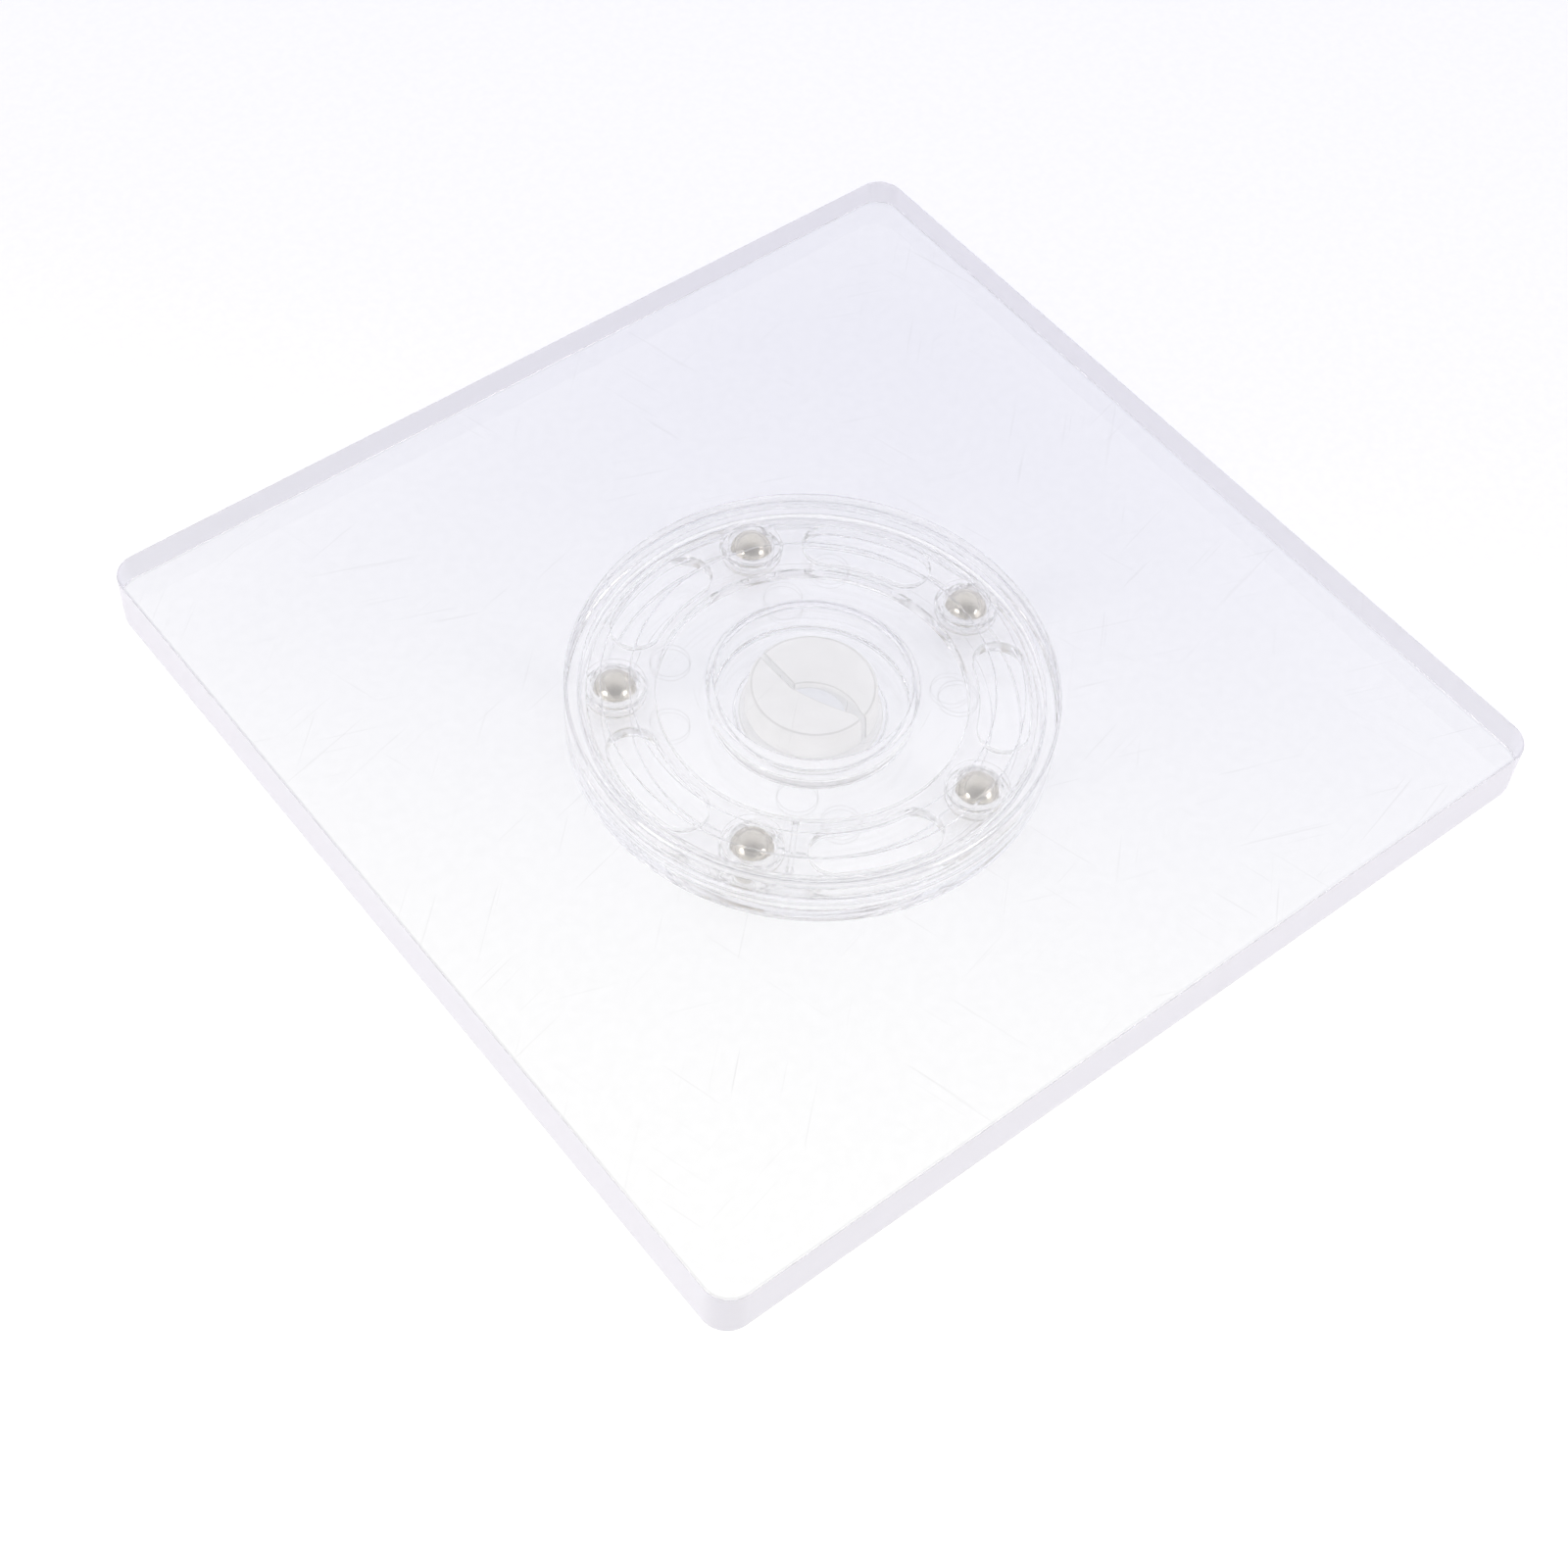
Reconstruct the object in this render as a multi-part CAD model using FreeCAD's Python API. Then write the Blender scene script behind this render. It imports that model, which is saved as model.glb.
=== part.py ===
import FreeCAD, Part
import math
import os

from FreeCAD import Vector

# Clear display turntable. Millimetres, +Z up, origin at the centre of the face that stands on the table.
# The lower race stands still, the upper race turns on five steel balls and carries the square plate.

# ---- plate ----
PLATE_SIDE = 100.0
PLATE_THICKNESS = 6.2
PLATE_CORNER_RADIUS = 2.8
PLATE_EDGE_BREAK = 0.2

# ---- adhesive film between plate and bearing ----
FILM_THICKNESS = 0.1
FILM_INNER_RADIUS = 12.0
FILM_OUTER_RADIUS = 23.8

# ---- bearing envelope ----
BEARING_RADIUS = 24.75
BEARING_HEIGHT = 6.25
RIM_WALL = 1.5
RIM_GAP = 0.2
RIM_EDGE_BREAK = 0.25

# ---- balls and their channel ----
BALL_COUNT = 5
BALL_RADIUS = 4.366 / 2
BALL_CIRCLE_RADIUS = 19.7
FIRST_BALL_ANGLE = -1.8
TRACK_CLEARANCE = 0.02
CHANNEL_HALF_WIDTH = 1.46
CHANNEL_DEPTH = 0.3

# ---- hub cup of the upper race ----
CUP_INNER_RADIUS = 9.9
CUP_OUTER_RADIUS_TOP = 10.67
CUP_OUTER_RADIUS_FOOT = 10.45
CUP_FLOOR_THICKNESS = 0.7
CUP_FLOOR_CLEARANCE = 0.18
CUP_FILLET = 0.7

# ---- hole and underside recess of the lower race ----
HUB_HOLE_RADIUS = 5.75
RECESS_RADIUS = 7.7
RECESS_DEPTH = 0.6

# ---- round witness marks of the ejector pins ----
PIN_MARK_COUNT = 4
PIN_MARK_RADIUS = 2.0
PIN_MARK_DEPTH = 0.06
PIN_MARK_CIRCLE_RADIUS = 14.4
UPPER_PIN_MARK_ANGLE = 45.0
LOWER_PIN_MARK_ANGLE = 63.0

# ---- ball cage ----
CAGE_INNER_RADIUS = 15.65
CAGE_OUTER_RADIUS = 22.6
CAGE_THICKNESS = 1.5
CAGE_POCKET_CLEARANCE = 0.17
CAGE_BOSS_RADIUS = 3.15
CAGE_BOSS_HEIGHT = 2.6
WINDOW_INNER_RADIUS = 16.8
WINDOW_OUTER_RADIUS = 21.9
WINDOW_CENTRE_HALF_ANGLE = 12.6
WELD_ANGLE = 225.5
WELD_GROOVE_WIDTH = 0.5
WELD_GROOVE_DEPTH = 0.35
WELD_GROOVE_INSET = 0.5

# ---- split snap rivet ----
RIVET_FLANGE_RADIUS = 7.3
RIVET_FLANGE_BOTTOM = 0.1
RIVET_FLANGE_TOP = 0.55
RIVET_SHAFT_RADIUS = 5.68
RIVET_BORE_RADIUS = 3.6
RIVET_HEAD_CLEARANCE = 0.05
RIVET_HEAD_RADIUS_FOOT = 6.8
RIVET_HEAD_RADIUS_TOP = 6.5
RIVET_HEAD_TOP_GAP = 1.0
RIVET_HEAD_EDGE_BREAK = 0.3
RIVET_CROWN_THICKNESS = 0.9
SLOT_SIDE_X = -2.0
SLOT_WIDTH = 0.55
SLOT_TURN_Y = 1.2
SLOT_FOOT_X = 1.1
SLOT_FOOT_Y = -5.3
CRESCENT_CHORD = Vector(-0.55, -2.4, 0)
CRESCENT_BULGE = Vector(1.65, -1.9, 0)

# ---- heights that follow from these ----
MID_HEIGHT = BEARING_HEIGHT / 2
WEB_THICKNESS = MID_HEIGHT - BALL_RADIUS - TRACK_CLEARANCE + CHANNEL_DEPTH
RIM_TOP = MID_HEIGHT - RIM_GAP / 2
RIM_INNER_RADIUS = BEARING_RADIUS - RIM_WALL
CUP_FLOOR_BOTTOM = WEB_THICKNESS + CUP_FLOOR_CLEARANCE
CUP_FLOOR_TOP = CUP_FLOOR_BOTTOM + CUP_FLOOR_THICKNESS
PLATE_BOTTOM = BEARING_HEIGHT + FILM_THICKNESS
RIVET_HEAD_FOOT = CUP_FLOOR_TOP + RIVET_HEAD_CLEARANCE
RIVET_HEAD_TOP = BEARING_HEIGHT - RIVET_HEAD_TOP_GAP

Z_AXIS = Vector(0, 0, 1)
ORIGIN = Vector(0, 0, 0)
FULL_TURN = 360.0


def revolve(points):
    """Solid of revolution about Z from (radius, height) points of a closed outline."""
    corners = [Vector(radius, 0, height) for radius, height in points]
    outline = Part.makePolygon(corners + corners[:1])
    return Part.Face(outline).revolve(ORIGIN, Z_AXIS, FULL_TURN)


def polar(radius, angle, height=0.0):
    """Point at a radius and an angle in degrees."""
    turn = math.radians(angle)
    return Vector(radius * math.cos(turn), radius * math.sin(turn), height)


def disc(radius, bottom, top, centre=ORIGIN):
    """Upright cylinder between two heights."""
    return Part.makeCylinder(radius, top - bottom, Vector(centre.x, centre.y, bottom), Z_AXIS)


def ring(inner, outer, bottom, top):
    """Flat ring between two heights."""
    return disc(outer, bottom, top).cut(disc(inner, bottom, top))


def ball_angles():
    return [FIRST_BALL_ANGLE + FULL_TURN * index / BALL_COUNT for index in range(BALL_COUNT)]


def ball_centre(angle):
    return polar(BALL_CIRCLE_RADIUS, angle, MID_HEIGHT)


def make_plate():
    """Square plate with rounded corners and lightly broken edges."""
    half = PLATE_SIDE / 2
    block = Part.makeBox(PLATE_SIDE, PLATE_SIDE, PLATE_THICKNESS, Vector(-half, -half, PLATE_BOTTOM))
    upright = [edge for edge in block.Edges if abs(edge.tangentAt(edge.FirstParameter).z) > 0.5]
    rounded = block.makeFillet(PLATE_CORNER_RADIUS, upright)
    level = [edge for edge in rounded.Edges if edge.BoundBox.ZLength < PLATE_EDGE_BREAK]
    return rounded.makeChamfer(PLATE_EDGE_BREAK, level)


def make_film():
    return ring(FILM_INNER_RADIUS, FILM_OUTER_RADIUS, BEARING_HEIGHT, PLATE_BOTTOM)


def race_shell():
    """Disc with a rim and a ball channel, standing on Z = 0; both races start from it."""
    channel_inner = BALL_CIRCLE_RADIUS - CHANNEL_HALF_WIDTH
    channel_outer = BALL_CIRCLE_RADIUS + CHANNEL_HALF_WIDTH
    channel_floor = WEB_THICKNESS - CHANNEL_DEPTH
    return revolve(
        [
            (HUB_HOLE_RADIUS, 0),
            (BEARING_RADIUS - RIM_EDGE_BREAK, 0),
            (BEARING_RADIUS, RIM_EDGE_BREAK),
            (BEARING_RADIUS, RIM_TOP),
            (RIM_INNER_RADIUS, RIM_TOP),
            (RIM_INNER_RADIUS, WEB_THICKNESS),
            (channel_outer, WEB_THICKNESS),
            (channel_outer, channel_floor),
            (channel_inner, channel_floor),
            (channel_inner, WEB_THICKNESS),
            (HUB_HOLE_RADIUS, WEB_THICKNESS),
        ]
    )


def pin_marks(first_angle):
    """Shallow round dents that the ejector pins leave on the inner side of a race."""
    marks = []
    for index in range(PIN_MARK_COUNT):
        centre = polar(PIN_MARK_CIRCLE_RADIUS, first_angle + FULL_TURN * index / PIN_MARK_COUNT)
        marks.append(disc(PIN_MARK_RADIUS, WEB_THICKNESS - PIN_MARK_DEPTH, WEB_THICKNESS, centre))
    return Part.makeCompound(marks)


def make_lower_race():
    """Standing race: the shell with a recess underneath for the rivet's flange."""
    recess = disc(RECESS_RADIUS, 0, RECESS_DEPTH)
    return race_shell().cut(recess).cut(pin_marks(LOWER_PIN_MARK_ANGLE))


def hub_cup():
    """Cup that drops from the upper race's web almost to the lower race; its floor holds the rivet's head."""
    cup = revolve(
        [
            (HUB_HOLE_RADIUS, CUP_FLOOR_BOTTOM),
            (CUP_OUTER_RADIUS_FOOT, CUP_FLOOR_BOTTOM),
            (CUP_OUTER_RADIUS_TOP, BEARING_HEIGHT),
            (CUP_INNER_RADIUS, BEARING_HEIGHT),
            (CUP_INNER_RADIUS, CUP_FLOOR_TOP),
            (HUB_HOLE_RADIUS, CUP_FLOOR_TOP),
        ]
    )
    inner_corner = [
        edge
        for edge in cup.Edges
        if abs(edge.BoundBox.ZMin - CUP_FLOOR_TOP) < 1e-6
        and edge.BoundBox.ZLength < 1e-6
        and abs(edge.BoundBox.XLength - 2 * CUP_INNER_RADIUS) < 1e-3
    ]
    return cup.makeFillet(CUP_FILLET, inner_corner)


def make_upper_race():
    """Turning race: the shell turned over, with the hub cup in its middle."""
    shell = race_shell().cut(pin_marks(-UPPER_PIN_MARK_ANGLE))
    shell.rotate(ORIGIN, Vector(1, 0, 0), FULL_TURN / 2)
    shell.translate(Vector(0, 0, BEARING_HEIGHT))
    well = disc(CUP_INNER_RADIUS, 0, BEARING_HEIGHT)
    return shell.cut(well).fuse(hub_cup()).removeSplitter()


def window(centre_angle):
    """Curved window of the cage with fully rounded ends."""
    middle = (WINDOW_INNER_RADIUS + WINDOW_OUTER_RADIUS) / 2
    end_radius = (WINDOW_OUTER_RADIUS - WINDOW_INNER_RADIUS) / 2
    start = centre_angle - WINDOW_CENTRE_HALF_ANGLE
    stop = centre_angle + WINDOW_CENTRE_HALF_ANGLE
    half_step = math.degrees(end_radius / middle)
    edges = [
        Part.Arc(
            polar(WINDOW_INNER_RADIUS, start),
            polar(WINDOW_INNER_RADIUS, centre_angle),
            polar(WINDOW_INNER_RADIUS, stop),
        ),
        Part.Arc(
            polar(WINDOW_INNER_RADIUS, stop), polar(middle, stop + half_step), polar(WINDOW_OUTER_RADIUS, stop)
        ),
        Part.Arc(
            polar(WINDOW_OUTER_RADIUS, stop),
            polar(WINDOW_OUTER_RADIUS, centre_angle),
            polar(WINDOW_OUTER_RADIUS, start),
        ),
        Part.Arc(
            polar(WINDOW_OUTER_RADIUS, start), polar(middle, start - half_step), polar(WINDOW_INNER_RADIUS, start)
        ),
    ]
    outline = Part.Wire([edge.toShape() for edge in edges])
    opening = Part.Face(outline).extrude(Vector(0, 0, BEARING_HEIGHT))
    return opening


def weld_groove():
    """Shallow radial groove across the cage where the moulding was closed."""
    length = CAGE_OUTER_RADIUS - CAGE_INNER_RADIUS - 2 * WELD_GROOVE_INSET
    top = MID_HEIGHT + CAGE_THICKNESS / 2
    corner = Vector(CAGE_INNER_RADIUS + WELD_GROOVE_INSET, -WELD_GROOVE_WIDTH / 2, top - WELD_GROOVE_DEPTH)
    groove = Part.makeBox(length, WELD_GROOVE_WIDTH, WELD_GROOVE_DEPTH, corner)
    groove.rotate(ORIGIN, Z_AXIS, WELD_ANGLE)
    return groove


def make_cage():
    """Flat ring with a raised boss round each ball and a window between each two balls."""
    bottom = MID_HEIGHT - CAGE_THICKNESS / 2
    cage = ring(CAGE_INNER_RADIUS, CAGE_OUTER_RADIUS, bottom, bottom + CAGE_THICKNESS)
    limits = ring(CAGE_INNER_RADIUS, CAGE_OUTER_RADIUS, 0, BEARING_HEIGHT)
    boss_bottom = MID_HEIGHT - CAGE_BOSS_HEIGHT / 2
    pocket_radius = BALL_RADIUS + CAGE_POCKET_CLEARANCE
    for angle in ball_angles():
        boss = disc(CAGE_BOSS_RADIUS, boss_bottom, boss_bottom + CAGE_BOSS_HEIGHT, ball_centre(angle))
        cage = cage.fuse(boss.common(limits))
    for angle in ball_angles():
        cage = cage.cut(disc(pocket_radius, 0, BEARING_HEIGHT, ball_centre(angle)))
        cage = cage.cut(window(angle + FULL_TURN / BALL_COUNT / 2))
    return cage.cut(weld_groove()).removeSplitter()


def make_ball(angle):
    """Bearing ball, its poles on the outward line that it rolls about."""
    return Part.makeSphere(BALL_RADIUS, ball_centre(angle), polar(1, angle, 0))


def rivet_slot():
    """S-shaped slot that splits the rivet into two legs and opens into a crescent beside the middle."""
    reach = 2 * RIVET_HEAD_RADIUS_FOOT
    left_top = Vector(SLOT_SIDE_X, reach, 0)
    left_turn = Vector(SLOT_SIDE_X, SLOT_TURN_Y, 0)
    left_foot = Vector(SLOT_FOOT_X, SLOT_FOOT_Y, 0)
    left_end = Vector(SLOT_FOOT_X, -reach, 0)
    across = Vector(SLOT_WIDTH, 0, 0)
    edges = [
        Part.makeLine(left_top, left_turn),
        Part.Arc(left_turn, CRESCENT_CHORD, left_foot).toShape(),
        Part.makeLine(left_foot, left_end),
        Part.makeLine(left_end, left_end + across),
        Part.makeLine(left_end + across, left_foot + across),
        Part.Arc(left_foot + across, CRESCENT_BULGE, left_turn + across).toShape(),
        Part.makeLine(left_turn + across, left_top + across),
        Part.makeLine(left_top + across, left_top),
    ]
    slot = Part.Face(Part.Wire(edges)).extrude(Vector(0, 0, BEARING_HEIGHT))
    slot.translate(Vector(0, 0, RIVET_FLANGE_TOP))
    return slot


def make_rivet():
    """Hollow rivet with a flange below, a shaft through both races and a barbed, split head."""
    crown_bottom = RIVET_HEAD_TOP - RIVET_CROWN_THICKNESS
    body = revolve(
        [
            (0, RIVET_FLANGE_BOTTOM),
            (RIVET_FLANGE_RADIUS, RIVET_FLANGE_BOTTOM),
            (RIVET_FLANGE_RADIUS, RIVET_FLANGE_TOP),
            (RIVET_SHAFT_RADIUS, RIVET_FLANGE_TOP),
            (RIVET_SHAFT_RADIUS, RIVET_HEAD_FOOT),
            (RIVET_HEAD_RADIUS_FOOT, RIVET_HEAD_FOOT),
            (RIVET_HEAD_RADIUS_TOP, RIVET_HEAD_TOP - RIVET_HEAD_EDGE_BREAK),
            (RIVET_HEAD_RADIUS_TOP - RIVET_HEAD_EDGE_BREAK, RIVET_HEAD_TOP),
            (0, RIVET_HEAD_TOP),
        ]
    )
    bore = disc(RIVET_BORE_RADIUS, 0, crown_bottom)
    return body.cut(bore).cut(rivet_slot())


def write(node, shape):
    solids = shape.Solids
    if not shape.isValid() or len(solids) != 1:
        raise RuntimeError(node + " is not one valid solid")
    solids[0].exportStep(os.path.join("parts", node + ".step"))


def main():
    os.makedirs("parts", exist_ok=True)
    write("display_plate", make_plate())
    write("adhesive_ring", make_film())
    write("upper_race", make_upper_race())
    write("lower_race", make_lower_race())
    write("ball_cage", make_cage())
    for number, angle in enumerate(ball_angles(), start=1):
        write("ball_" + str(number), make_ball(angle))
    write("snap_rivet", make_rivet())


main()
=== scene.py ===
import math

import bmesh
import bpy
from mathutils import Matrix, Vector


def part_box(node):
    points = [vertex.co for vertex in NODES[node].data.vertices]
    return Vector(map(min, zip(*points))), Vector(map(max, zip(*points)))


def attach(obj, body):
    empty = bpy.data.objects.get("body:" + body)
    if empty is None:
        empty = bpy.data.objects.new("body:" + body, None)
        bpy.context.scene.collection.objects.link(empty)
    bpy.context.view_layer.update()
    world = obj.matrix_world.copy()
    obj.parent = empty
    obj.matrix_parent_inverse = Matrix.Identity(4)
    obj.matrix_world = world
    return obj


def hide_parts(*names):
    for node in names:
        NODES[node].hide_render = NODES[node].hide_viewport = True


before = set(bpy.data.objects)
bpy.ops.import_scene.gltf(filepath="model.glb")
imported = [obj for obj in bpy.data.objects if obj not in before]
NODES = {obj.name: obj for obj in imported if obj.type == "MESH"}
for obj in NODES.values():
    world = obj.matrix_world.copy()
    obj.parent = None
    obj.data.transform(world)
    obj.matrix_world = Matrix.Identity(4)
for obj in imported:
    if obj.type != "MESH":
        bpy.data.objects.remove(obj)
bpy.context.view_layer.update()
MM = 0.001

# Clear display turntable on a white table. Lengths below are in millimetres unless their comment says otherwise.
# The CAD model gives the outer sizes; the inner dimensions repeat the ones it was made with.

# ---------------------------------------------------------------- sizes read from the CAD model
PLATE_LOW, PLATE_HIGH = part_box("display_plate")
FILM_LOW, FILM_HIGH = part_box("adhesive_ring")
UPPER_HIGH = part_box("upper_race")[1]
PLATE_SIDE = (PLATE_HIGH.x - PLATE_LOW.x) / MM
PLATE_TOP = PLATE_HIGH.z / MM
PLATE_BOTTOM = PLATE_LOW.z / MM
BEARING_RADIUS = UPPER_HIGH.x / MM
BEARING_HEIGHT = UPPER_HIGH.z / MM
FILM_OUTER_RADIUS = FILM_HIGH.x / MM
MID_HEIGHT = BEARING_HEIGHT / 2

# ---------------------------------------------------------------- inner dimensions
PLATE_CORNER_RADIUS = 2.8
PLATE_EDGE_BREAK = 0.2
FILM_INNER_RADIUS = 12.0
FILM_SKIN_GAP = 0.02
RIM_WALL = 1.5
RIM_GAP = 0.2
RIM_EDGE_BREAK = 0.25
BALL_COUNT = 5
BALL_RADIUS = 4.366 / 2
BALL_CIRCLE_RADIUS = 19.7
TRACK_CLEARANCE = 0.02
CHANNEL_HALF_WIDTH = 1.46
CHANNEL_DEPTH = 0.3
CUP_INNER_RADIUS = 9.9
CUP_OUTER_RADIUS_TOP = 10.67
CUP_OUTER_RADIUS_FOOT = 10.45
CUP_FLOOR_THICKNESS = 0.7
CUP_FLOOR_CLEARANCE = 0.18
CUP_FILLET = 0.7
CUP_FILLET_ANGLES = (15, 30, 45, 60, 75)
HUB_HOLE_RADIUS = 5.75
RECESS_RADIUS = 7.7
RECESS_DEPTH = 0.6
MOULDED_EDGE = 0.2
CAGE_EDGE_BREAK = 0.16
RIVET_EDGE_BREAK = 0.12
WEB_THICKNESS = MID_HEIGHT - BALL_RADIUS - TRACK_CLEARANCE + CHANNEL_DEPTH

# ---------------------------------------------------------------- camera
# The camera stands in front and to the left of the plate. Its place is given in plate sides from the middle of the
# plate's top face.
CAMERA_OFFSET = Vector((-1.16437, -1.24668, 2.10309))
CAMERA_AZIMUTH = math.radians(-42.358)
CAMERA_ELEVATION = math.radians(53.674)
CAMERA_ROLL = math.radians(4.975)
CAMERA_LENS = 63.327
SENSOR_WIDTH = 36.0
CLIP_START = 0.005
CLIP_END = 20.0

# ---------------------------------------------------------------- studio
# The floor's reach and the lamps' distance and size are in metres. The floor's glow goes from FAR to NEAR over
# GLOW_REACH metres to each side of the middle, along GLOW_DIRECTION. The room is SKY_NEAR bright behind the camera and
# SKY_FAR beyond the object. SKY_HORIZON and SKY_WALL scale that at the horizon, up to the given heights on the unit
# sphere.
FLOOR_REACH = 4.0
FLOOR_DROP = 0.02
# Painted light: the glow keeps the floor white, and its change from FAR to NEAR paints a pool of light towards the
# near left and bluer shade towards the far side, seen through the plate.
FLOOR_GLOW_FAR = (0.22, 0.23, 0.32, 1)
FLOOR_GLOW_NEAR = (0.40, 0.41, 0.39, 1)
FLOOR_GLOW_REACH = 0.06
FLOOR_GLOW_DIRECTION = (-0.75, -0.66, 0)
FLOOR_ALBEDO = 0.72
FLOOR_ALBEDO_SPREAD = 0.01
FLOOR_GRAIN = 900.0
SKY_NEAR = 0.4
SKY_FAR = 1.35
SKY_HORIZON = 0.2
SKY_WALL = 1.1
SKY_TURN = (-0.8, 0.6)
SKY_HORIZON_HEIGHT = 0.30
SKY_WALL_FADE = (0.04, 0.10)
SKY_COLOUR = (1.0, 0.985, 0.965, 1)
LAMP_COLOUR = (1.0, 0.94, 0.85)
LAMP_DISTANCE = 0.6
LAMP_SIZE = 0.30
LAMP_ELEVATION = math.radians(15.0)
LAMP_LEFT_AZIMUTH = math.radians(-95.0)
LAMP_LEFT_POWER = 1.3
LAMP_RIGHT_AZIMUTH = math.radians(23.0)
LAMP_RIGHT_POWER = 1.2
TRAPPED_DEPTH = 20
REFRACTED_BOUNCES = 48
MIRRORED_BOUNCES = 24
STRAIGHT_BOUNCES = 64

# ---------------------------------------------------------------- surface detail
# Scales are in repeats per metre. HAZE, EDGE_SHADE, FAINT_EDGE_PAINTED_SHADE and SAWN_FACE_AND_PAINTED_SHADE are layers laid over clear plastic:
# (share, shader kind, colour).
WHITE = (1, 1, 1, 1)
NOISE_RANGE = (0.3, 0.7)
ACRYLIC_IOR = 1.49
STYRENE_IOR = 1.57
ADHESIVE_IOR = 1.02
NYLON_IOR = 1.53
MARK_TINT = (0.30, 0.30, 0.32, 1)
HAZE = (0.04, "BsdfDiffuse", (0.90, 0.90, 0.91, 1))
# Painted shade: a grey see-through layer that draws the races' rounded edges as grey lines.
EDGE_SHADE = (0.45, "BsdfTransparent", (0.86, 0.86, 0.88, 1))
# Painted shade, faint: a light grey see-through layer over the cage's rounded edges.
FAINT_EDGE_PAINTED_SHADE = (0.6, "BsdfTransparent", (0.97, 0.97, 0.975, 1))
# Partly real and partly painted shade: a dull sawn face, given a greyer, bluer colour than sawn acrylic so that the
# plate's sides look darker.
SAWN_FACE_AND_PAINTED_SHADE = (0.78, "BsdfDiffuse", (0.745, 0.745, 0.825, 1))
ACRYLIC_TINT = (0.838, 0.843, 0.872, 1)
# Painted shade: the plate's rounded edges are tinted darker than its faces, so that they show as dark lines.
ACRYLIC_EDGE_PAINTED_SHADE = (0.70, 0.70, 0.74, 1)
# Painted shade: the plate's sides get a darker tint than its top.
ACRYLIC_SIDE_PAINTED_SHADE = (0.62, 0.62, 0.66, 1)
ACRYLIC_PASSING = (0.98, 0.98, 0.985, 1)
ACRYLIC_EDGE_ROUGHNESS = 0.05
ACRYLIC_SIDE_ROUGHNESS = 0.03
# Painted shade: the races' rounded edges are tinted a little grey.
STYRENE_EDGE_PAINTED_SHADE = (0.92, 0.92, 0.93, 1)
CAGE_TINT = (0.97, 0.97, 0.975, 1)
CAGE_EDGE_TINT = (0.97, 0.97, 0.975, 1)
CAGE_ROUGHNESS = 0.02
CAGE_EDGE_ROUGHNESS = 0.1
WAVE_SCALE = 90.0
WAVE_DEPTH = 0.004
SAW_STRETCH = (900.0, 900.0, 30.0)
SAW_LINE = (0.45, 0.75)
SAW_SHARE = 0.25
SCRATCH_TURNS = (0.35, 1.3, 2.4, 2.9)
SCRATCH_STRETCH = (70.0, 3000.0, 70.0)
SCRATCH_PATCH = 45.0
SCRATCH_LINE = (0.71, 0.77)
SCRATCH_FADE = (0.48, 0.62)
SCRATCH_SHARE = 0.12
SPECK_CELLS = 60.0
SPECK_EDGE = (0.008, 0.012)
SPECK_THRESHOLD = 0.8
SPECK_SHARE = 0.6
PIN_MARK_RADIUS = 2.0
PIN_MARK_CIRCLE_RADIUS = 14.4
PIN_MARK_LINE = 0.14
PIN_MARK_SHARE = 0.25
UPPER_PIN_MARK_ANGLE = 45.0
LOWER_PIN_MARK_ANGLE = 63.0
STEEL_COLOUR = (0.68, 0.65, 0.59, 1)
STEEL_GRAIN = 1800.0
STEEL_ROUGHNESS = (0.07, 0.13)
NYLON_SHADES = (0.965, 1.0)
# Painted shade: the rivet's rounded edges are a darker white, so that they show as thin grey lines.
NYLON_EDGE_PAINTED_SHADES = (0.80, 0.84)
NYLON_CLOUDS = 350.0
NYLON_GRAIN = 2500.0
NYLON_GRAIN_DEPTH = 0.05
NYLON_GRAIN_STRENGTH = 0.15
NYLON_ROUGHNESS = 0.35
NYLON_PASSING = 0.5
NYLON_SCATTER = 0.97
# Painted light: the nylon glows faintly, though it is no lamp, standing in for light it gathers from the table.
NYLON_PAINTED_GLOW = 0.06

# ---------------------------------------------------------------- meshes
# A look is a face's material slot. JOINED_POINTS is in metres.
SEGMENTS = 288
BODY_LOOK = 0
EDGE_LOOK = 1
SIDE_LOOK = 2
CORNER_STEPS = 4
PLATE_CORNER_STEPS = 24
BEVEL_STEPS = 2
SHARP_CORNER = math.radians(35)
BEVELLED_ANGLE = math.radians(40)
FLAT_ANGLE = math.radians(1.0)
JOINED_POINTS = 1e-7


def make_camera():
    data = bpy.data.cameras.new("camera")
    data.lens = CAMERA_LENS
    data.sensor_width = SENSOR_WIDTH
    data.clip_start = CLIP_START
    data.clip_end = CLIP_END
    camera = bpy.data.objects.new("camera", data)
    bpy.context.scene.collection.objects.link(camera)
    back = direction(CAMERA_AZIMUTH, CAMERA_ELEVATION)
    right = (-back).cross(Vector((0, 0, 1))).normalized()
    up = back.cross(right)
    right_rolled = math.cos(CAMERA_ROLL) * right + math.sin(CAMERA_ROLL) * up
    up_rolled = math.cos(CAMERA_ROLL) * up - math.sin(CAMERA_ROLL) * right
    axes = Matrix((right_rolled, up_rolled, back)).transposed()
    place = Vector((0, 0, PLATE_HIGH.z)) + CAMERA_OFFSET * PLATE_SIDE * MM
    camera.matrix_world = Matrix.Translation(place) @ axes.to_4x4()
    bpy.context.scene.camera = camera


def direction(azimuth, elevation):
    """Unit vector towards a light or camera: azimuth 0 is in front (-Y), positive towards +X."""
    return Vector(
        (
            math.sin(azimuth) * math.cos(elevation),
            -math.cos(azimuth) * math.cos(elevation),
            math.sin(elevation),
        )
    )


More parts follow.
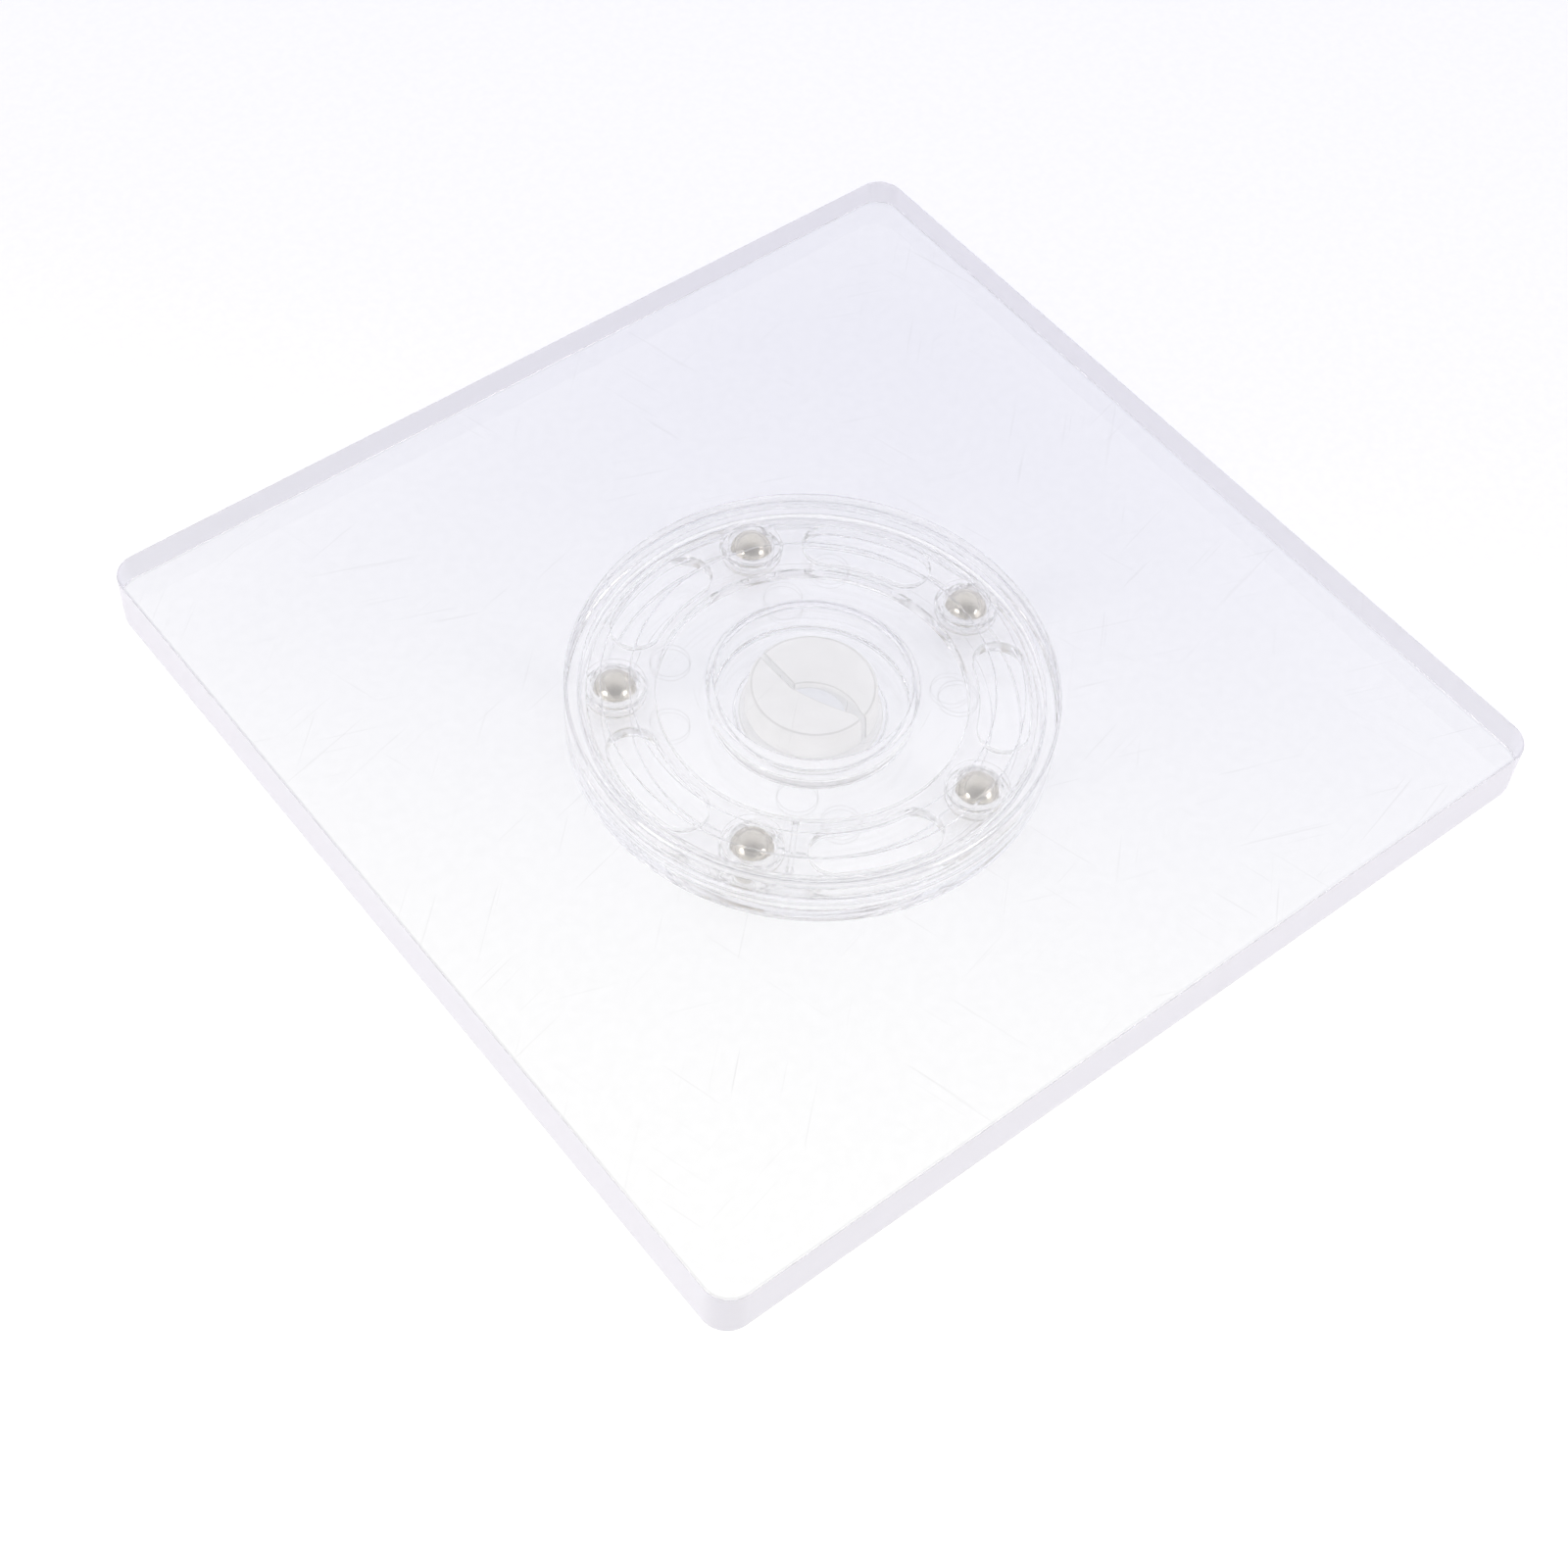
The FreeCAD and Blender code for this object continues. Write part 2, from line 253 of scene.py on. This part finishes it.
class Shape:
    """Points with their normals, and the faces between them. Places are given in millimetres and kept in metres."""

    def __init__(self):
        self.points = []
        self.normals = []
        self.faces = []
        self.looks = []

    def point(self, place, normal):
        self.points.append(Vector(place) * MM)
        self.normals.append(Vector(normal).normalized())
        return len(self.points) - 1

    def face(self, corners, look=BODY_LOOK):
        self.faces.append(tuple(corners))
        self.looks.append(look)

    def band(self, lower, upper, look=BODY_LOOK):
        """Faces between two closed loops of points."""
        for k in range(len(lower)):
            following = (k + 1) % len(lower)
            self.face((lower[k], lower[following], upper[following], upper[k]), look)

    def to_object(self, name):
        mesh = bpy.data.meshes.new(name)
        mesh.from_pydata(self.points, [], self.faces)
        mesh.polygons.foreach_set("material_index", self.looks)
        mesh.shade_smooth()
        mesh.normals_split_custom_set_from_vertices(self.normals)
        obj = bpy.data.objects.new(name, mesh)
        bpy.context.scene.collection.objects.link(obj)
        return obj


def softened(points, radius):
    """Closed outline, counter-clockwise in (radius, height), with its corners rounded.

    Gives each point with its outward normal and the look of the face after it.
    """
    result = []
    count = len(points)
    for index, corner in enumerate(points):
        here = Vector(corner)
        before = here - Vector(points[index - 1])
        after = Vector(points[(index + 1) % count]) - here
        reach = min(radius, before.length / 3, after.length / 3)
        sharp = before.angle(after) > SHARP_CORNER
        start = here - before.normalized() * reach
        end = here + after.normalized() * reach
        for step in range(CORNER_STEPS + 1):
            t = step / CORNER_STEPS
            place = (1 - t) ** 2 * start + 2 * t * (1 - t) * here + t * t * end
            along = (1 - t) * (here - start) + t * (end - here)
            look = EDGE_LOOK if sharp and step < CORNER_STEPS else BODY_LOOK
            result.append((place, Vector((along.y, -along.x)), look))
    return result


def lathe(outline):
    """Rounded outline turned about Z."""
    shape = Shape()
    rings = []
    for place, normal, _ in outline:
        ring = []
        for index in range(SEGMENTS):
            turn = 2 * math.pi * index / SEGMENTS
            c, s = math.cos(turn), math.sin(turn)
            leaning = (normal.x * c, normal.x * s, normal.y)
            ring.append(shape.point((place.x * c, place.x * s, place.y), leaning))
        rings.append(ring)
    for index, ring in enumerate(rings):
        shape.band(ring, rings[(index + 1) % len(rings)], outline[index][2])
    return shape


def square_loop(shape, half, radius, height, slope):
    """Rounded square of points at one height. The normals lean up by slope, in radians."""
    loop = []
    for corner in range(4):
        turn = math.pi / 2 * corner
        middle = Vector((half - radius, half - radius, 0))
        middle.rotate(Matrix.Rotation(turn, 3, "Z"))
        for step in range(PLATE_CORNER_STEPS + 1):
            angle = turn + math.pi / 2 * step / PLATE_CORNER_STEPS
            out = Vector((math.cos(angle), math.sin(angle), 0))
            place = middle + radius * out
            normal = out * math.cos(slope) + Vector((0, 0, math.sin(slope)))
            loop.append(shape.point((place.x, place.y, height), normal))
    return loop


def plate_shape():
    """Square plate with rounded corners and rounded edges."""
    shape = Shape()
    half = PLATE_SIDE / 2
    slopes = [-math.pi / 2 + math.pi / 2 * step / CORNER_STEPS for step in range(CORNER_STEPS + 1)]
    slopes += [-slope for slope in reversed(slopes)]
    loops = []
    for index, slope in enumerate(slopes):
        inset = PLATE_EDGE_BREAK * (1 - math.cos(slope))
        drop = PLATE_EDGE_BREAK * (1 - abs(math.sin(slope)))
        height = PLATE_BOTTOM + drop if index <= CORNER_STEPS else PLATE_TOP - drop
        loops.append(square_loop(shape, half - inset, PLATE_CORNER_RADIUS - inset, height, slope))
    for index, (lower, upper) in enumerate(zip(loops, loops[1:])):
        shape.band(lower, upper, SIDE_LOOK if index == CORNER_STEPS else EDGE_LOOK)
    shape.face(reversed(loops[0]))
    shape.face(loops[-1])
    return shape


def film_shape():
    bottom = FILM_LOW.z / MM + FILM_SKIN_GAP
    top = FILM_HIGH.z / MM - FILM_SKIN_GAP
    outline = [
        (FILM_INNER_RADIUS, bottom),
        (FILM_OUTER_RADIUS, bottom),
        (FILM_OUTER_RADIUS, top),
        (FILM_INNER_RADIUS, top),
    ]
    return lathe(softened(outline, FILM_SKIN_GAP / 2))


def rim_outline():
    """Rim, web and ball channel that both races share, from the foot's outer edge inwards, standing on Z = 0."""
    channel_outer = BALL_CIRCLE_RADIUS + CHANNEL_HALF_WIDTH
    channel_inner = BALL_CIRCLE_RADIUS - CHANNEL_HALF_WIDTH
    channel_floor = WEB_THICKNESS - CHANNEL_DEPTH
    rim_inner = BEARING_RADIUS - RIM_WALL
    rim_top = MID_HEIGHT - RIM_GAP / 2
    return [
        (BEARING_RADIUS - RIM_EDGE_BREAK, 0),
        (BEARING_RADIUS, RIM_EDGE_BREAK),
        (BEARING_RADIUS, rim_top),
        (rim_inner, rim_top),
        (rim_inner, WEB_THICKNESS),
        (channel_outer, WEB_THICKNESS),
        (channel_outer, channel_floor),
        (channel_inner, channel_floor),
        (channel_inner, WEB_THICKNESS),
    ]


def lower_race_shape():
    inside = [
        (HUB_HOLE_RADIUS, WEB_THICKNESS),
        (HUB_HOLE_RADIUS, RECESS_DEPTH),
        (RECESS_RADIUS, RECESS_DEPTH),
        (RECESS_RADIUS, 0),
    ]
    return lathe(softened(rim_outline() + inside, MOULDED_EDGE))


def upper_race_shape():
    shell = [(radius, BEARING_HEIGHT - height) for radius, height in rim_outline()]
    floor_bottom = WEB_THICKNESS + CUP_FLOOR_CLEARANCE
    floor_top = floor_bottom + CUP_FLOOR_THICKNESS
    web_bottom = BEARING_HEIGHT - WEB_THICKNESS
    taper = (web_bottom - floor_bottom) / (BEARING_HEIGHT - floor_bottom)
    neck = CUP_OUTER_RADIUS_FOOT + (CUP_OUTER_RADIUS_TOP - CUP_OUTER_RADIUS_FOOT) * taper
    cup = [
        (neck, web_bottom),
        (CUP_OUTER_RADIUS_FOOT, floor_bottom),
        (HUB_HOLE_RADIUS, floor_bottom),
        (HUB_HOLE_RADIUS, floor_top),
        (CUP_INNER_RADIUS - CUP_FILLET, floor_top),
    ]
    centre_radius = CUP_INNER_RADIUS - CUP_FILLET
    centre_height = floor_top + CUP_FILLET
    fillet = [
        (
            centre_radius + CUP_FILLET * math.sin(math.radians(angle)),
            centre_height - CUP_FILLET * math.cos(math.radians(angle)),
        )
        for angle in CUP_FILLET_ANGLES
    ]
    wall = [(CUP_INNER_RADIUS, centre_height), (CUP_INNER_RADIUS, BEARING_HEIGHT)]
    outline = shell + cup + fillet + wall
    return lathe(softened(list(reversed(outline)), MOULDED_EDGE))


def rounded_copy(node, name, width):
    """New object with the CAD piece's shape and its sharp edges rounded a little."""
    work = bmesh.new()
    work.from_mesh(NODES[node].data)
    bmesh.ops.remove_doubles(work, verts=work.verts, dist=JOINED_POINTS)
    bmesh.ops.dissolve_limit(work, angle_limit=FLAT_ANGLE, verts=work.verts, edges=work.edges)
    sharp = [edge for edge in work.edges if edge.is_manifold and edge.calc_face_angle() > BEVELLED_ANGLE]
    corners = [vert for vert in work.verts if any(edge in sharp for edge in vert.link_edges)]
    bmesh.ops.bevel(
        work,
        geom=sharp + corners,
        offset=width * MM,
        segments=BEVEL_STEPS,
        profile=0.5,
        affect="EDGES",
        clamp_overlap=False,
        material=EDGE_LOOK,
    )
    mesh = bpy.data.meshes.new(name)
    work.to_mesh(mesh)
    work.free()
    obj = bpy.data.objects.new(name, mesh)
    bpy.context.scene.collection.objects.link(obj)
    mesh.shade_smooth()
    mesh.set_sharp_from_angle(angle=BEVELLED_ANGLE)
    flatten = obj.modifiers.new("flat faces stay flat", "WEIGHTED_NORMAL")
    flatten.keep_sharp = True
    return obj


# ---------------------------------------------------------------- node helper
class Tree:
    """Small wrapper that adds and joins shader nodes."""

    def __init__(self, owner):
        owner.use_nodes = True
        self.tree = owner.node_tree
        self.tree.nodes.clear()

    def add(self, kind, inputs=None, **settings):
        node = self.tree.nodes.new("ShaderNode" + kind)
        for name, value in settings.items():
            setattr(node, name, value)
        for name, value in (inputs or {}).items():
            if isinstance(value, bpy.types.NodeSocket):
                self.tree.links.new(value, node.inputs[name])
            else:
                node.inputs[name].default_value = value
        return node

    def math(self, operation, first, second=0.0, third=0.0):
        return self.add("Math", {0: first, 1: second, 2: third}, operation=operation).outputs[0]

    def length(self, first, second):
        squares = self.math("MULTIPLY", first, first), self.math("MULTIPLY", second, second)
        return self.math("SQRT", self.math("ADD", *squares))

    def ramp(self, value, low, high, to_low=0.0, to_high=1.0):
        inputs = {"Value": value, "From Min": low, "From Max": high, "To Min": to_low, "To Max": to_high}
        return self.add("MapRange", inputs, interpolation_type="SMOOTHSTEP").outputs["Result"]

    def place(self, scale=(1, 1, 1), turn=(0, 0, 0)):
        """Object coordinates, scaled and turned."""
        source = self.add("TexCoord").outputs["Object"]
        return self.add("Mapping", {"Vector": source, "Scale": scale, "Rotation": turn}).outputs[0]

    def noise(self, vector, scale, detail=2.0):
        return self.add("TexNoise", {"Vector": vector, "Scale": scale, "Detail": detail}).outputs["Fac"]

    def finish(self, shader):
        self.add("OutputMaterial", {"Surface": shader})


# ---------------------------------------------------------------- studio
def make_world():
    """Soft room: bright beyond the object, dim behind the camera, with a dark band over a light strip of wall."""
    world = bpy.data.worlds.new("studio")
    bpy.context.scene.world = world
    t = Tree(world)
    away = -direction(CAMERA_AZIMUTH, 0)
    source = t.add("TexCoord").outputs["Generated"]
    along = t.add("VectorMath", {0: source, 1: away}, operation="DOT_PRODUCT").outputs["Value"]
    far = t.ramp(along, *SKY_TURN, SKY_NEAR, SKY_FAR)
    height = t.add("SeparateXYZ", {0: source}).outputs["Z"]
    horizon = t.ramp(height, 0.0, SKY_HORIZON_HEIGHT, SKY_HORIZON, 1.0)
    wall = t.ramp(height, *SKY_WALL_FADE, SKY_WALL, 0.0)
    level = t.math("MULTIPLY", far, t.math("MAXIMUM", horizon, wall))
    background = t.add("Background", {"Color": SKY_COLOUR, "Strength": level})
    t.add("OutputWorld", {"Surface": background.outputs[0]})


def make_lamp(name, azimuth, power):
    data = bpy.data.lights.new(name, "AREA")
    data.shape = "DISK"
    data.size = LAMP_SIZE
    data.energy = power
    data.color = LAMP_COLOUR
    lamp = bpy.data.objects.new(name, data)
    bpy.context.scene.collection.objects.link(lamp)
    towards = direction(azimuth, LAMP_ELEVATION)
    facing = towards.to_track_quat("Z", "Y").to_matrix().to_4x4()
    lamp.matrix_world = Matrix.Translation(towards * LAMP_DISTANCE) @ facing


def make_floor():
    mesh = bpy.data.meshes.new("floor")
    r = FLOOR_REACH
    mesh.from_pydata([(-r, -r, 0), (r, -r, 0), (r, r, 0), (-r, r, 0)], [], [(0, 1, 2, 3)])
    floor = bpy.data.objects.new("floor", mesh)
    bpy.context.scene.collection.objects.link(floor)
    floor.location.z = -FLOOR_DROP * MM
    material = bpy.data.materials.new("floor")
    t = Tree(material)
    darkest, lightest = FLOOR_ALBEDO - FLOOR_ALBEDO_SPREAD, FLOOR_ALBEDO + FLOOR_ALBEDO_SPREAD
    paper = t.ramp(t.noise(t.place(), FLOOR_GRAIN), *NOISE_RANGE, darkest, lightest)
    diffuse = t.add("BsdfDiffuse", {"Color": paper})
    # Painted light: the glow is brighter towards the near left and dimmer and bluer towards the far side.
    near_left = t.add("VectorMath", {0: t.place(), 1: FLOOR_GLOW_DIRECTION}, operation="DOT_PRODUCT").outputs["Value"]
    painted_light_nearness = t.ramp(near_left, -FLOOR_GLOW_REACH, FLOOR_GLOW_REACH)
    colour = t.add("Mix", {0: painted_light_nearness, 6: FLOOR_GLOW_FAR, 7: FLOOR_GLOW_NEAR}, data_type="RGBA")
    glow = t.add("Emission", {"Color": colour.outputs[2], "Strength": 1.0})
    both = t.add("AddShader", {0: diffuse.outputs[0], 1: glow.outputs[0]})
    t.finish(both.outputs[0])
    mesh.materials.append(material)


# ---------------------------------------------------------------- materials
def lets_light_through(t, shader, tint):
    """Shadow and diffuse rays, and rays trapped inside by total reflection, pass straight on."""
    path = t.add("LightPath")
    light = t.math("MAXIMUM", path.outputs["Is Shadow Ray"], path.outputs["Is Diffuse Ray"])
    trapped = t.math("GREATER_THAN", path.outputs["Ray Depth"], TRAPPED_DEPTH)
    clear = t.add("BsdfTransparent", {"Color": tint})
    either = t.math("MAXIMUM", light, trapped)
    return t.add("MixShader", {0: either, 1: shader, 2: clear.outputs[0]}).outputs[0]


def clear_plastic(name, ior, tint, passing, roughness=0.0, marks=None, layers=()):
    """Clear plastic. Marks says where it is dull and darker; layers are (share, shader kind, colour) laid over it."""
    material = bpy.data.materials.new(name)
    t = Tree(material)
    colour = tint
    if marks:
        colour = t.add("Mix", {0: marks(t), 6: tint, 7: MARK_TINT}, data_type="RGBA").outputs[2]
    inputs = {"Base Color": colour, "Transmission Weight": 1.0, "Roughness": roughness, "IOR": ior}
    inputs["Normal"] = mould_waves(t)
    shader = t.add("BsdfPrincipled", inputs).outputs[0]
    for share, kind, layer_colour in layers:
        layer = t.add(kind, {"Color": layer_colour})
        shader = t.add("MixShader", {0: share, 1: shader, 2: layer.outputs[0]}).outputs[0]
    t.finish(lets_light_through(t, shader, passing))
    return material


def mould_waves(t):
    """Faint waves left by casting or moulding."""
    waves = t.noise(t.place(), WAVE_SCALE)
    return t.add("Bump", {"Strength": 1.0, "Distance": WAVE_DEPTH * MM, "Height": waves}).outputs[0]


def scratches(t):
    """Hair scratches in several directions, fading in and out, and a few specks of dust."""
    total = specks(t)
    for turn in SCRATCH_TURNS:
        turned = t.place(turn=(0, 0, turn))
        stretched = t.add("Mapping", {"Vector": turned, "Scale": SCRATCH_STRETCH}).outputs[0]
        lines = t.noise(stretched, 1.0, detail=1.0)
        fading = t.noise(turned, SCRATCH_PATCH)
        fade = t.ramp(fading, *SCRATCH_FADE, 0.0, SCRATCH_SHARE)
        depth = t.math("MULTIPLY", t.ramp(lines, *SCRATCH_LINE), fade)
        total = t.math("ADD", total, depth)
    return total


def specks(t):
    """Small dark specks of dust, one in some of the cells."""
    cells = t.add("TexVoronoi", {"Vector": t.place(), "Scale": SPECK_CELLS})
    near = t.ramp(cells.outputs["Distance"], *SPECK_EDGE, 1.0, 0.0)
    red = t.add("SeparateColor", {0: cells.outputs["Color"]}).outputs[0]
    chosen = t.math("GREATER_THAN", red, SPECK_THRESHOLD)
    return t.math("MULTIPLY", near, t.math("MULTIPLY", chosen, SPECK_SHARE))


def saw_marks(t):
    """Fine upright lines left by the cutter round the plate's sides."""
    return t.ramp(t.noise(t.place(SAW_STRETCH), 1.0), *SAW_LINE, 0.0, SAW_SHARE)


def pin_marks(first_angle):
    """Rings left by the four ejector pins, the first at first_angle degrees."""

    def marks(t):
        split = t.add("SeparateXYZ", {0: t.place((1 / MM, 1 / MM, 1 / MM))})
        x, y = split.outputs["X"], split.outputs["Y"]
        reach = t.length(x, y)
        angle = t.math("SUBTRACT", t.math("ARCTAN2", y, x), math.radians(first_angle))
        folded = t.math("WRAP", angle, math.pi / 4, -math.pi / 4)
        along = t.math("SUBTRACT", t.math("MULTIPLY", reach, t.math("COSINE", folded)), PIN_MARK_CIRCLE_RADIUS)
        across = t.math("MULTIPLY", reach, t.math("SINE", folded))
        from_pin = t.length(along, across)
        off_ring = t.math("ABSOLUTE", t.math("SUBTRACT", from_pin, PIN_MARK_RADIUS))
        return t.ramp(off_ring, 0.0, PIN_MARK_LINE, PIN_MARK_SHARE, 0.0)

    return marks


def bearing_steel():
    material = bpy.data.materials.new("steel")
    t = Tree(material)
    rough = t.ramp(t.noise(t.place(), STEEL_GRAIN), *NOISE_RANGE, *STEEL_ROUGHNESS)
    inputs = {"Base Color": STEEL_COLOUR, "Metallic": 1.0, "Roughness": rough}
    t.finish(t.add("BsdfPrincipled", inputs).outputs[0])
    return material


def milky_plastic(name, darkest, lightest):
    """Nylon: white, cloudy, and passing some of the light from the table below. It also glows faintly: painted light
    that brightens it, though it is no lamp.
    """
    material = bpy.data.materials.new(name)
    t = Tree(material)
    shade = t.ramp(t.noise(t.place(), NYLON_CLOUDS), *NOISE_RANGE, darkest, lightest)
    white = t.add("CombineColor", {0: shade, 1: shade, 2: shade}).outputs[0]
    grain = t.noise(t.place(), NYLON_GRAIN)
    relief = {"Strength": NYLON_GRAIN_STRENGTH, "Distance": NYLON_GRAIN_DEPTH * MM, "Height": grain}
    bump = t.add("Bump", relief).outputs[0]
    inputs = {"Base Color": white, "Roughness": NYLON_ROUGHNESS, "IOR": NYLON_IOR, "Normal": bump}
    # Painted light: a faint glow that makes the nylon brighter.
    inputs.update({"Emission Color": WHITE, "Emission Strength": NYLON_PAINTED_GLOW})
    surface = t.add("BsdfPrincipled", inputs)
    through = t.add("BsdfTranslucent", {"Color": white})
    body = t.add("MixShader", {0: NYLON_PASSING, 1: surface.outputs[0], 2: through.outputs[0]})
    scattered = t.math("MULTIPLY", t.add("LightPath").outputs["Is Diffuse Ray"], NYLON_SCATTER)
    clear = t.add("BsdfTransparent", {"Color": WHITE})
    t.finish(t.add("MixShader", {0: scattered, 1: body.outputs[0], 2: clear.outputs[0]}).outputs[0])
    return material


def replace_node(node, body, piece, materials):
    """The piece takes a CAD node's place. Its materials are in the order of the looks."""
    for material in materials:
        piece.data.materials.append(material)
    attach(piece, body)
    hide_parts(node)


make_camera()
make_world()
make_lamp("lamp_left", LAMP_LEFT_AZIMUTH, LAMP_LEFT_POWER)
make_lamp("lamp_right", LAMP_RIGHT_AZIMUTH, LAMP_RIGHT_POWER)
make_floor()
acrylic = clear_plastic("clear_acrylic", ACRYLIC_IOR, ACRYLIC_TINT, ACRYLIC_PASSING, marks=scratches)
# The plate's rounded edges: clear acrylic with painted shade, a darker tint that draws them as dark lines.
acrylic_edge_painted_shade = clear_plastic(
    "acrylic_edge_painted_shade", ACRYLIC_IOR, ACRYLIC_EDGE_PAINTED_SHADE, ACRYLIC_PASSING, ACRYLIC_EDGE_ROUGHNESS
)
# The plate's sides: real saw marks, and painted shade in the darker tint and the greyer sawn-face layer.
acrylic_side = clear_plastic(
    "acrylic_side",
    ACRYLIC_IOR,
    ACRYLIC_SIDE_PAINTED_SHADE,
    ACRYLIC_PASSING,
    ACRYLIC_SIDE_ROUGHNESS,
    marks=saw_marks,
    layers=[SAWN_FACE_AND_PAINTED_SHADE],
)
adhesive = clear_plastic("clear_adhesive", ADHESIVE_IOR, WHITE, WHITE)
upper_styrene = clear_plastic("upper_styrene", STYRENE_IOR, WHITE, WHITE, marks=pin_marks(UPPER_PIN_MARK_ANGLE))
lower_styrene = clear_plastic("lower_styrene", STYRENE_IOR, WHITE, WHITE, marks=pin_marks(LOWER_PIN_MARK_ANGLE))
# The races' rounded edges: painted shade, a grey tint and a grey see-through layer that draw them as grey lines.
styrene_edge_painted_shade = clear_plastic("styrene_edge_painted_shade", STYRENE_IOR, STYRENE_EDGE_PAINTED_SHADE, WHITE, layers=[EDGE_SHADE])
cage_plastic = clear_plastic("clear_cage", STYRENE_IOR, CAGE_TINT, WHITE, CAGE_ROUGHNESS, layers=[HAZE])
# The cage's rounded edges: a little rougher, with faint painted shade from a light grey see-through layer.
cage_edge_painted_shade = clear_plastic(
    "cage_edge_painted_shade", STYRENE_IOR, CAGE_EDGE_TINT, WHITE, CAGE_EDGE_ROUGHNESS, layers=[FAINT_EDGE_PAINTED_SHADE]
)
steel = bearing_steel()
nylon = milky_plastic("milky_plastic", *NYLON_SHADES)
# A darker copy of the nylon for the rivet's rounded edges: painted shade that outlines them.
nylon_edge_painted_shade = milky_plastic("milky_edge_painted_shade", *NYLON_EDGE_PAINTED_SHADES)
plate = plate_shape().to_object("plate_look")
film = film_shape().to_object("film_look")
upper_race = upper_race_shape().to_object("upper_race_look")
lower_race = lower_race_shape().to_object("lower_race_look")
cage = rounded_copy("ball_cage", "cage_look", CAGE_EDGE_BREAK)
rivet = rounded_copy("snap_rivet", "rivet_look", RIVET_EDGE_BREAK)
replace_node("display_plate", "platform", plate, [acrylic, acrylic_edge_painted_shade, acrylic_side])
replace_node("adhesive_ring", "platform", film, [adhesive, adhesive])
replace_node("upper_race", "platform", upper_race, [upper_styrene, styrene_edge_painted_shade])
replace_node("lower_race", "base", lower_race, [lower_styrene, styrene_edge_painted_shade])
replace_node("ball_cage", "cage", cage, [cage_plastic, cage_edge_painted_shade])
replace_node("snap_rivet", "base", rivet, [nylon, nylon_edge_painted_shade])
for number in range(1, BALL_COUNT + 1):
    NODES["ball_" + str(number)].material_slots[0].material = steel

scene = bpy.context.scene
scene.view_settings.view_transform = "Standard"
scene.cycles.denoising_input_passes = "RGB_ALBEDO_NORMAL"
scene.cycles.max_bounces = REFRACTED_BOUNCES
scene.cycles.transmission_bounces = REFRACTED_BOUNCES
scene.cycles.glossy_bounces = MIRRORED_BOUNCES
scene.cycles.transparent_max_bounces = STRAIGHT_BOUNCES
